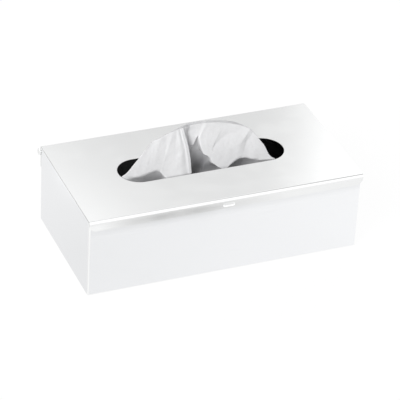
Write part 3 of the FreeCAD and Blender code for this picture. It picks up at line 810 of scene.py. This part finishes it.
def draw_folds(up, cell):
    """Heights, x and depths in mm and the shaded strip, on the fold lines and between them."""
    heights, xs, depths, strips = [], [], [], []
    for index, line in enumerate(FOLD_LINES):
        points = np.array(line, dtype=float).T
        height = points[0][-1] * np.clip(up, 0.0, 1.0)
        heights.append(height)
        xs.append(np.interp(height, points[0], points[1]))
        depths.append(np.interp(height, points[0], points[2]))
        strips.append(np.full(len(up), float(index in SHADED_LINES)))
    stations = [0.0]
    for index, (near, far) in enumerate(zip(xs, xs[1:])):
        reach = np.hypot(far - near, np.array(depths[index + 1]) - depths[index]).max()
        count = max(2, round(reach / cell))
        stations += [index + (step + 1) / count for step in range(count)]
    lines = np.arange(len(FOLD_LINES))
    return [
        np.array([np.interp(stations, lines, column) for column in np.array(table).T]).T
        for table in (heights, xs, depths, strips)
    ]


def softened(values, passes):
    """Rounds the creases of a grid: every pass averages a point with its neighbours."""
    for _ in range(passes):
        padded = np.pad(values, 1, mode="edge")
        values = (
            padded[1:-1, 1:-1] * 4
            + padded[:-2, 1:-1] + padded[2:, 1:-1] + padded[1:-1, :-2] + padded[1:-1, 2:]
        ) / 8
    return values


def paper_material(name, settings):
    """Soft two-ply paper: fibres, a fine embossing, and painted shade down in the folds."""
    material, tree, shader = new_material(name)
    shader.inputs["Roughness"].default_value = 0.92
    shader.inputs["Specular IOR Level"].default_value = 0.2
    fibres = place_group(tree, shared("paper_fibres"))
    plain = mottle(tree, fibres.outputs["Mask"], settings.paper, 0.93)
    # the painted shade of the folds, read from the mesh's points
    depth = add_node(tree, "ShaderNodeAttribute", attribute_name="fold_depth")
    shaded = mix_colours(tree, depth.outputs["Fac"], plain, (*settings.fold_shade, 1.0))
    link(tree, shaded, shader.inputs["Base Color"])
    add_bump(tree, shader, fibres.outputs["Height"], 0.6, 0.08 * MM)
    return material


def front_half(settings):
    """The half that shows at the front: heights over the lid, x and depths in mm, and shade."""
    left, right = TISSUE_LOW.x / MM, TISSUE_HIGH.x / MM
    rise, sink = (TISSUE_HIGH.z - LID_HIGH.z) / MM, (LID_HIGH.z - TISSUE_LOW.z) / MM
    cell = settings.cell / MM
    below = np.linspace(-1.0, 0.0, round(sink / cell / 3), endpoint=False)
    up = np.concatenate((below, np.linspace(0.0, 1.0, round(rise / cell) + 1)))
    height, x, depth, strip_share = draw_folds(up, cell)
    x = left + (x - DRAWN_LEFT) * (right - left) / DRAWN_WIDTH
    height *= (upper_edge(x[:, -1], left, right, rise) / height[:, -1])[:, None]
    return up, height, x, softened(depth, settings.crease_passes), strip_share


def fold_shades(up, height, x, depth, strip_share):
    """How much painted shade lies on the front half and on the rear half, from 0 to 1. Lengths in mm.
    """
    in_folds, in_hollows, at_slot, on_roll, on_panels, on_top_edge = 0.56, 0.36, 0.46, 0.35, 0.15, 0.34
    fold_reach, hollow_reach, roll_reach, top_edge_reach = 36, 18, 30, 1.5
    above_lid = smooth_step(up / 0.3 + 1)
    folds = in_folds * smooth_step(depth / 4.5) * (1 - 0.8 * smooth_step(height / fold_reach))
    off_roll = smooth_step((np.abs(x - ROLL_X) - 2) / 9)
    folds += in_hollows * smooth_step((depth - 2) / 8) * fade(height, hollow_reach) * off_roll
    foot_reach = 1.4 + 2.2 * between(x, -14, 22, 8, 8)  # higher in the middle
    foot = at_slot * fade(height, foot_reach)
    roll = on_roll * strip_share * smooth_step(height / roll_reach)
    panels = on_panels * np.interp(x, *zip(*PANEL_SHADES)) * fade(height, fold_reach)
    # painted shade along the rear half's top edge, which draws its outline
    top_edge_shade = on_top_edge * fade(height[:, -1:] - height, top_edge_reach)
    return above_lid * np.maximum.reduce((folds, foot, roll, panels)), above_lid * top_edge_shade


def behind_slot_edge(x, height, depth):
    """Where a point lies that leans back from the front edge of the slot, in mm."""
    round_end = np.clip(np.abs(x) - SLOT_STRAIGHT_HALF, 0.0, SLOT_EDGE_RADIUS)
    round_end *= 1 - 0.5 * smooth_step(height / 14)
    return depth + TISSUE_LEAN * height - np.sqrt(SLOT_EDGE_RADIUS**2 - round_end**2)


def pleats_below_lid(x, settings):
    """How far forwards or back the loose pleats below the lid lie, in mm."""
    turns = x / (settings.pleat_width / MM) + 0.3 * np.sin(x / 7) + 0.5 * np.cos(x / 19)
    return settings.pleat_depth / MM * (1 + 0.5 * np.sin(x / 11)) * np.sin(2 * math.pi * turns)


def lower_bend(front, rear):
    """The bend that joins the lower edges of the two halves."""
    steps = 6
    near, far = front[:, -1:], rear[:, :1]
    turn = (np.arange(1, steps) / steps * math.pi)[None, :, None]
    bend = (near + far) / 2 + (near - far) / 2 * np.cos(turn)
    bend[:, :, 2] -= (far - near)[:, :, 1] / 2 * np.sin(turn[:, :, 0])
    return bend


def tissue_grid(settings):
    """The tissue from its front edge down to the foot and up again behind: points and shade."""
    up, height, x, depth, strip_share = front_half(settings)
    sunk = smooth_step(-up)
    room_for_bend, flare = 2.6, 0.13
    gap_at_top, more_gap_below = 0.9, 3.6
    fall = (LID_HIGH.z - TISSUE_LOW.z) / MM - room_for_bend
    spread = x + flare * sunk * (x - x.mean())
    foot = depth / 2 + pleats_below_lid(x, settings) - TISSUE_FOOT * SLOT_EDGE_RADIUS
    # the rear half stands a little higher in the middle, and follows the folds more loosely
    rear_rise = 1.7 * between(x, -40, 36, 24, 14) - 0.5
    rear_depth = softened(np.maximum(softened(depth, 36), depth), 6)
    front_shade, rear_shade = fold_shades(up, height, x, depth, strip_share)
    halves = []
    for at_rear, lies, shade in ((0, depth, front_shade), (1, rear_depth, rear_shade)):
        gap = at_rear * (gap_at_top + more_gap_below * sunk)
        over = height + at_rear * rear_rise * np.clip(up, 0.0, 1.0) ** 2
        y = (1 - sunk) * behind_slot_edge(x, over, lies + gap) + sunk * (foot + gap)
        z = LID_HIGH.z / MM + over + np.minimum(up, 0.0) * fall
        halves.append(np.stack((spread, y, z, shade), axis=2))
    front, rear = halves[0][:, ::-1], halves[1]
    return np.concatenate((front, lower_bend(front, rear), rear), axis=1)


class DISPENSER_OT_pulled_tissue(bpy.types.Operator):
    """Makes the folded tissue that stands up through the slot"""

    bl_idname = "dispenser.pulled_tissue"
    bl_label = "Pulled tissue"

    def execute(self, context):
        settings = context.scene.dispenser_tissue
        grid = tissue_grid(settings)
        columns, rows = grid.shape[:2]
        places, shade = grid[:, :, :3].reshape(-1, 3), grid[:, :, 3].ravel()
        dents_per_mm, fineness, step, layers = 0.09, 0.7, 2.1, 3
        dents = [noise.fractal(Vector(p) * dents_per_mm, fineness, step, layers) for p in places]
        places[:, 1] += np.array(dents) * settings.crumple / MM
        tissue = mesh_object("tissue_in_slot", places * MM, grid_faces(columns, rows))
        # the painted shade of the folds, kept on the points for the paper's colour
        depths = tissue.data.attributes.new("fold_depth", "FLOAT", "POINT").data
        depths.foreach_set("value", shade.astype(np.float32))
        thicken(tissue, settings.thickness)
        tissue.data.materials.append(paper_material("pulled_tissue_paper", settings))
        tissue.visible_glossy = False
        stand_for(tissue, "pulled_tissue", "lid")
        return {"FINISHED"}


def folded_tissue(name, width, length, height, thickness):
    """One tissue folded in half, its fold at the rear, on which the next one lies."""
    flat_points, bend_points, stations = 12, 7, 38
    bend = height / 4
    flat = np.linspace(-width / 2, width / 2 - bend, flat_points)
    turn = np.linspace(-math.pi / 2, math.pi / 2, bend_points)
    leaf = np.full(flat_points - 1, bend)
    y = np.concatenate((flat[:-1], flat[-1] + bend * np.cos(turn), flat[-2::-1]))
    z = np.concatenate((-leaf, bend * np.sin(turn), leaf))
    xs = np.linspace(-length / 2, length / 2, stations)
    points = [(x, *place) for x in xs for place in zip(y, z)]
    made = mesh_object(name, points, grid_faces(stations, len(y)))
    thicken(made, thickness)
    return made


def slide_of_each(tree, seed, reach):
    """A random slide along X and Y for each tissue of a stack."""
    loose = add_node(
        tree, "FunctionNodeRandomValue", data_type="FLOAT_VECTOR", Min=(-1.0, -1.0, 0.0),
        Max=(1.0, 1.0, 0.0), Seed=seed,
    )
    slide = add_node(
        tree, "ShaderNodeVectorMath", operation="SCALE", Vector=loose.outputs[0], Scale=reach
    )
    return slide.outputs[0]


def waves_of_paper(tree, height):
    """Small waves that lift the paper, and move it twice as far along Y."""
    waves_per_metre = 30.0
    place = add_node(tree, "GeometryNodeInputPosition").outputs[0]
    waves = add_node(
        tree, "ShaderNodeTexNoise", Vector=place, Scale=waves_per_metre, Detail=2.0
    )
    centred = calculate(tree, "SUBTRACT", waves.outputs["Fac"], 0.5)
    lift = calculate(tree, "MULTIPLY", centred, height)
    return vector_of(tree, y=calculate(tree, "MULTIPLY", lift, 2.0), z=lift)


def tissue_stack_tree():
    """Folded tissues in a stack, their folds at the rear and the front in turn."""
    tree, given, result = new_shape_tree(
        "tissue_stack",
        (
            ("Tissue", "Object", None),
            ("Count", "Int", 12),
            ("Layer", "Float", 1.5 * MM),
            ("Bottom", "Float", 1 * MM),
            ("Looseness", "Float", 0.6 * MM),
            ("Ripple", "Float", 0.3 * MM),
            ("Seed", "Int", 4),
            ("Paper", "Material", None),
        ),
    )
    layer = given["Layer"]
    first = calculate(tree, "MULTIPLY_ADD", layer, 0.5, given["Bottom"])
    row = add_node(
        tree, "GeometryNodeMeshLine", mode="OFFSET", Count=given["Count"],
        Start_Location=vector_of(tree, z=first), Offset=vector_of(tree, z=layer),
    )
    tissue = add_node(tree, "GeometryNodeObjectInfo", Object=given["Tissue"])
    index = add_node(tree, "GeometryNodeInputIndex").outputs[0]
    half_turn = calculate(tree, "MULTIPLY", index, math.pi)
    stack = add_node(
        tree, "GeometryNodeInstanceOnPoints", Instance=tissue.outputs["Geometry"],
        Rotation=vector_of(tree, z=half_turn),
    )
    slide = slide_of_each(tree, given["Seed"], given["Looseness"])
    move = add_node(tree, "GeometryNodeTranslateInstances", Translation=slide)
    real = add_node(tree, "GeometryNodeRealizeInstances")
    waves = waves_of_paper(tree, given["Ripple"])
    ripple = add_node(tree, "GeometryNodeSetPosition", Offset=waves)
    finish = add_node(tree, "GeometryNodeSetMaterial", Material=given["Paper"])
    chain(tree, row, stack, move, real, ripple, finish, result)
    return tree


class DISPENSER_OT_tissue_pile(bpy.types.Operator):
    """Stacks the folded tissues that are left in the box"""

    bl_idname = "dispenser.tissue_pile"
    bl_label = "Tissue pile"

    def execute(self, context):
        settings = context.scene.dispenser_tissue
        size = PILE_HIGH - PILE_LOW
        layer = size.z / settings.pile_count
        loose = settings.looseness
        width, length = size.y - 4 * loose, size.x - 2 * loose
        leaf = 0.36 * layer
        single = folded_tissue("single_tissue", width, length, layer, leaf)
        pile = grown_object(
            "folded_tissues",
            tissue_stack_tree(),
            tissue=single,
            count=settings.pile_count,
            layer=layer,
            bottom=PILE_LOW.z,
            looseness=loose,
            ripple=settings.ripple,
            seed=4,
            paper=paper_material("pile_paper", settings),
        )
        bpy.data.objects.remove(single)
        pile.visible_glossy = False
        stand_for(pile, "tissue_pile", "box")
        return {"FINISHED"}


# ---------------------------------------------------------------- studio


class StudioSettings(bpy.types.PropertyGroup):
    azimuth: angle_setting("Azimuth", "Where the camera stands round the dispenser", -23.46)
    elevation: angle_setting("Elevation", "How high the camera looks down from", 32.8)
    roll: angle_setting("Roll", "How far the camera is turned about its own axis", 3.21)
    distance: length_setting("Distance", "Camera to the point that it looks at", 2.027)
    target: FloatVectorProperty(
        name="Target", description="The point that the camera looks at",
        subtype="TRANSLATION", default=(-0.0017, -0.0058, 0.0375),
    )
    lens: FloatProperty(name="Lens", description="Focal length in millimetres", default=209.3)
    floor: colour_setting("Floor", "Colour of the floor", (0.9, 0.9, 0.9))
    floor_glow: share_setting("Floor glow", "The floor's own white over its shading", 0.92)
    grey_panel: brightness_setting("Grey panel", "The panel that the lid's top mirrors", 0.78)
    white_wall: brightness_setting("White wall", "The walls beside the panel", 1.05)
    fill: brightness_setting("Fill", "The room as matt surfaces see it", 0.5)


SEEN = ("Is Camera Ray", "Is Glossy Ray", "Is Transmission Ray")


def lit_by(tree, *kinds):
    """1 for rays of these kinds, 0 for the others."""
    path = add_node(tree, "ShaderNodeLightPath")
    total = path.outputs[kinds[0]]
    for kind in kinds[1:]:
        total = calculate(tree, "MAXIMUM", total, path.outputs[kind])
    return total


def room_level(tree, ray, settings):
    """The room's brightness where a ray goes: by its rise and turn in degrees, and its side."""
    place = parts_of(tree, ray)
    turn = calculate(tree, "DEGREES", calculate(tree, "ARCTAN2", place["X"], place["Y"]))
    rise = calculate(tree, "DEGREES", calculate(tree, "ARCSINE", place["Z"]))
    slanting = calculate(tree, "MULTIPLY_ADD", rise, -1.5, turn)
    sine, cosine = math.sin(settings.azimuth), math.cos(settings.azimuth)
    towards_camera = along(tree, ray, (sine, -cosine, 0.0))
    aside = along(tree, ray, (cosine, sine, 0.0))

    def ramp(angle, start, full):
        return map_range(tree, angle, start, full, smooth=True)

    def both(first, second):
        return calculate(tree, "MULTIPLY", first, second)

    grey, white = settings.grey_panel, settings.white_wall
    zones = (
        (ramp(rise, 32.2, 33.1), grey + 0.12),
        (ramp(slanting, -27.8, -30.2), white + 0.1),
        (ramp(turn, 25.7, 27.4), white + 0.3),
        (ramp(rise, 34.0, 36.5), white),
        (both(ramp(turn, 22.0, 19.5), ramp(rise, 32.6, 34.6)), white + 0.3),
        (ramp(rise, 50.0, 56.0), 0.55),
        (ramp(rise, 66.0, 72.0), 1.15),
        (map_range(tree, towards_camera, 0.0, 0.15), 1.15),
        (both(ramp(aside, -0.55, -0.7), ramp(rise, 14.0, 8.0)), 0.3),
    )
    level = grey
    for mask, brightness in zones:
        level = mix_values(tree, mask, level, brightness)
    return level


def make_world(settings):
    """White walls with one grey panel, which the lid's top mirrors towards the camera."""
    world = bpy.data.worlds.new("studio")
    bpy.context.scene.world = world
    world.use_nodes = True
    tree = world.node_tree
    background = tree.nodes["Background"]
    background.inputs["Color"].default_value = (1, 1, 1, 1)
    ray = add_node(tree, "ShaderNodeTexCoord").outputs["Generated"]
    level = room_level(tree, ray, settings)
    strength = mix_values(tree, lit_by(tree, *SEEN), settings.fill, level)
    link(tree, strength, background.inputs["Strength"])


def glowing_material(name, paint, share):
    """Matt paint, with a share of its own white glow for the rays that see it."""
    material, tree, shader = new_material(name)
    shader.inputs["Base Color"].default_value = (*paint, 1.0)
    shader.inputs["Roughness"].default_value = 0.9
    shader.inputs["Specular IOR Level"].default_value = 0.0
    glow = add_node(tree, "ShaderNodeEmission")
    seen = calculate(tree, "MULTIPLY", lit_by(tree, *SEEN), share)
    mix = add_node(tree, "ShaderNodeMixShader", Fac=seen)
    link(tree, shader.outputs[0], mix.inputs[1])
    link(tree, glow.outputs[0], mix.inputs[2])
    link(tree, mix.outputs[0], tree.nodes["Material Output"].inputs["Surface"])
    return material, tree, glow


def rectangle(low, high):
    """Corners of a rectangle from its lowest and highest X and Y."""
    return ((low[0], low[1]), (high[0], low[1]), (high[0], high[1]), (low[0], high[1]))


def flat_face(name, corners, level):
    """One flat face in the scene, at that height."""
    return mesh_object(name, [(*corner, level) for corner in corners], [range(len(corners))])


def make_floor(settings):
    """A white floor that keeps the shadow, and that metal sees a little darker on the left."""
    reach, under_cards = 6.0, 0.2 * MM
    corners = rectangle((-reach, -reach), (reach, reach))
    floor = flat_face("floor", corners, CAD_BOX[0].z - under_cards)
    material, tree, glow = glowing_material("floor_white", settings.floor, settings.floor_glow)
    seen, at_left, at_right, side = 1.02, 0.9, 1.04, 0.2
    across = along(tree, object_place(tree), (1.0, 0.0, 0.0))
    in_metal = map_range(tree, across, -side, side, at_left, at_right)
    glow_level = mix_values(tree, lit_by(tree, "Is Glossy Ray"), seen, in_metal)
    link(tree, glow_level, glow.inputs["Strength"])
    floor.data.materials.append(material)


def add_card(name, corners, steps, direction=(1.0, 0.0, 0.0)):
    """A card on the floor that only metal sees. Steps are its levels at places along it."""
    card = flat_face(name, corners, CAD_BOX[0].z)
    material, tree, glow = glowing_material(name, (0.8, 0.8, 0.8), 1.0)
    start, end = steps[0][0], steps[-1][0]
    ramp = add_node(tree, "ShaderNodeValToRGB")
    while len(ramp.color_ramp.elements) < len(steps):
        ramp.color_ramp.elements.new(0.5)
    for element, (at, level) in zip(ramp.color_ramp.elements, steps):
        element.position = (at - start) / (end - start)
        element.color = (level, level, level, 1.0)
    place = along(tree, object_place(tree), direction)
    link(tree, map_range(tree, place, start, end), ramp.inputs["Fac"])
    link(tree, ramp.outputs["Color"], glow.inputs["Color"])
    card.data.materials.append(material)
    card.visible_camera = card.visible_diffuse = card.visible_shadow = False


def add_cards():
    """Cards that draw the grey band along the lip and the fine lines of the left edges."""
    # the levels of the lip's card at places along X, then those of the others along Y
    lip = (
        (-0.084, 1.2), (-0.068, 1.0), (-0.05, 0.74), (-0.025, 0.46), (0.014, 0.46),
        (0.042, 0.72), (0.075, 0.9), (0.105, 1.05), (0.17, 1.0),
    )
    add_card("lip_card", rectangle((-0.14, -0.1665), (0.2, -0.157)), lip)
    corner = (BOX_LOW.x, BOX_LOW.y)
    near, far = (corner[0] - 0.052, corner[1] - 0.113), (corner[0] - 0.09, corner[1] - 0.086)
    add_card("corner_card", (corner, far, near), ((-1.0, 1.12), (1.0, 1.12)))
    rearwards = (0.0, 1.0, 0.0)
    lid_end = ((0.02, 0.9), (0.07, 0.9), (0.085, 1.3), (0.125, 1.3), (0.145, 1.0), (0.2, 1.0))
    add_card("lid_end_card", rectangle((-0.2, 0.02), (-0.1685, 0.2)), lid_end, rearwards)
    wall = ((-0.06, 0.87), (0.0, 0.87), (0.1, 0.92))
    add_card("left_wall_card", rectangle((-0.1685, -0.06), (-0.1255, 0.16)), wall, rearwards)


def add_softbox(name, place, width, power):
    """A square lamp that faces the dispenser, and that neither the camera nor metal sees."""
    middle = Vector((0, 0, 0.05))
    light = bpy.data.lights.new(name, "AREA")
    light.shape = "RECTANGLE"
    light.size = light.size_y = width
    light.energy = power
    lamp = put_in_scene(name, light)
    lamp.location = place
    lamp.rotation_mode = "QUATERNION"
    lamp.rotation_quaternion = (middle - Vector(place)).to_track_quat("-Z", "Y")
    lamp.visible_glossy = False
    lamp.visible_camera = False


def make_camera(settings):
    """The camera, set by its angles and its distance from the point that it looks at."""
    camera = put_in_scene("camera", bpy.data.cameras.new("camera"))
    level = math.cos(settings.elevation)
    back = Vector(
        (
            math.sin(settings.azimuth) * level,
            -math.cos(settings.azimuth) * level,
            math.sin(settings.elevation),
        )
    )
    camera.location = Vector(settings.target) + back * settings.distance
    camera.rotation_mode = "QUATERNION"
    turn = Quaternion((0, 0, 1), settings.roll)
    camera.rotation_quaternion = (-back).to_track_quat("-Z", "Y") @ turn
    camera.data.lens = settings.lens
    camera.data.clip_start, camera.data.clip_end = 0.05, 50.0
    bpy.context.scene.camera = camera


class DISPENSER_OT_studio(bpy.types.Operator):
    """Sets up the floor, the lights and the camera"""

    bl_idname = "dispenser.studio"
    bl_label = "Studio"

    def execute(self, context):
        settings = context.scene.dispenser_studio
        context.scene.view_settings.view_transform = "Standard"
        make_world(settings)
        make_floor(settings)
        add_cards()
        add_softbox("key", place=(-1.6, -1.2, 1.5), width=1.2, power=40.0)
        add_softbox("rear", place=(1.0, 1.7, 1.0), width=1.2, power=16.0)
        make_camera(settings)
        return {"FINISHED"}


# ---------------------------------------------------------------- panel and start


OPERATORS = (
    DISPENSER_OT_studio,
    DISPENSER_OT_box,
    DISPENSER_OT_lid,
    DISPENSER_OT_hinge,
    DISPENSER_OT_spot_welds,
    DISPENSER_OT_tissue_pile,
    DISPENSER_OT_pulled_tissue,
)
SETTINGS = (
    ("dispenser_steel", SteelSettings),
    ("dispenser_tissue", TissueSettings),
    ("dispenser_studio", StudioSettings),
)


class DISPENSER_PT_panel(bpy.types.Panel):
    """Lists the dispenser's pieces and their settings"""

    bl_idname = "DISPENSER_PT_panel"
    bl_label = "Tissue dispenser"
    bl_space_type = "VIEW_3D"
    bl_region_type = "UI"
    bl_category = "Dispenser"

    def draw(self, context):
        for name, kind in SETTINGS:
            box = self.layout.box()
            for prop in kind.__annotations__:
                box.prop(getattr(context.scene, name), prop)
        for operator in OPERATORS:
            self.layout.operator(operator.bl_idname)


def register():
    for name, kind in SETTINGS:
        bpy.utils.register_class(kind)
        setattr(bpy.types.Scene, name, PointerProperty(type=kind))
    for kind in (*OPERATORS, DISPENSER_PT_panel):
        bpy.utils.register_class(kind)


def unregister():
    for kind in (DISPENSER_PT_panel, *reversed(OPERATORS)):
        bpy.utils.unregister_class(kind)
    for name, kind in reversed(SETTINGS):
        delattr(bpy.types.Scene, name)
        bpy.utils.unregister_class(kind)


def main():
    """Makes every piece and the stage."""
    register()
    for operator in OPERATORS:
        group, name = operator.bl_idname.split(".")
        getattr(getattr(bpy.ops, group), name)()


if __name__ == "__main__":
    main()
